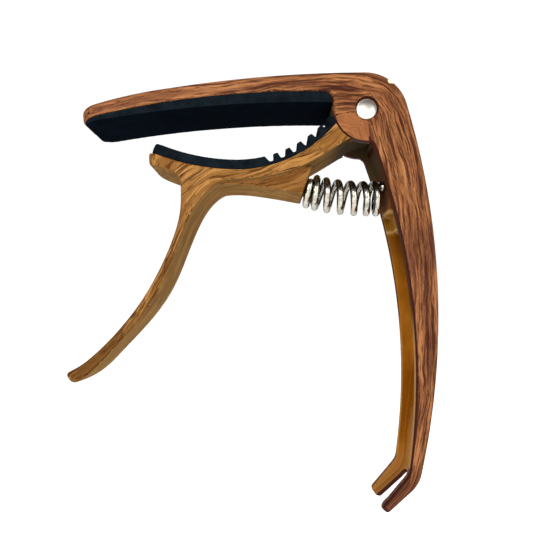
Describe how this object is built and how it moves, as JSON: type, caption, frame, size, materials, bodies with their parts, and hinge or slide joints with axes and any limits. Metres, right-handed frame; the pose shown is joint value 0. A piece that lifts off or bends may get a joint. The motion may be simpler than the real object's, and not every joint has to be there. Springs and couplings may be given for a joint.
{
  "type": "guitar capo",
  "caption": "Spring clip that clamps a guitar's neck and strings: cast frame with silicone string pad and forked claw, hinged jaw with ridged neck pad, coil spring.",
  "frame": {"origin": "middle of the string face, the underside of the string pad that presses on the strings", "axes": "+Z from the strings up through the frame's bar, +X along the bar from its tip towards the pivot, Y along the pivot pin and the guitar's strings"},
  "size_m": [0.0934, 0.014, 0.1089],
  "materials": {
    "rosewood_film": "satin lacquer over a printed rosewood film, on a casting",
    "zebrawood_film": "satin lacquer over a printed golden wood film, on a casting",
    "black_silicone": "matte moulded silicone",
    "spring_wire": "bright nickel plate",
    "pin_metal": "polished nickel plate",
    "nylon": "plain moulded nylon"
  },
  "bodies": {
    "frame": {"frame": "rosewood_film", "string_pad": "black_silicone", "pivot_pin": "pin_metal", "washer_front": "nylon", "washer_rear": "nylon", "return_spring": "spring_wire"},
    "jaw": {"jaw": "zebrawood_film", "neck_pad": "black_silicone"}
  },
  "joints": [
    {"name": "jaw_pivot", "type": "hinge", "parent": "frame", "child": "jaw", "pos_m": [0.036, 0, -0.0032], "axis": [0, -1, 0], "range_deg": [0, 24], "stiffness_Nm_per_rad": 2.9, "springref_deg": -8.02, "deforming": ["return_spring"]}
  ]
}
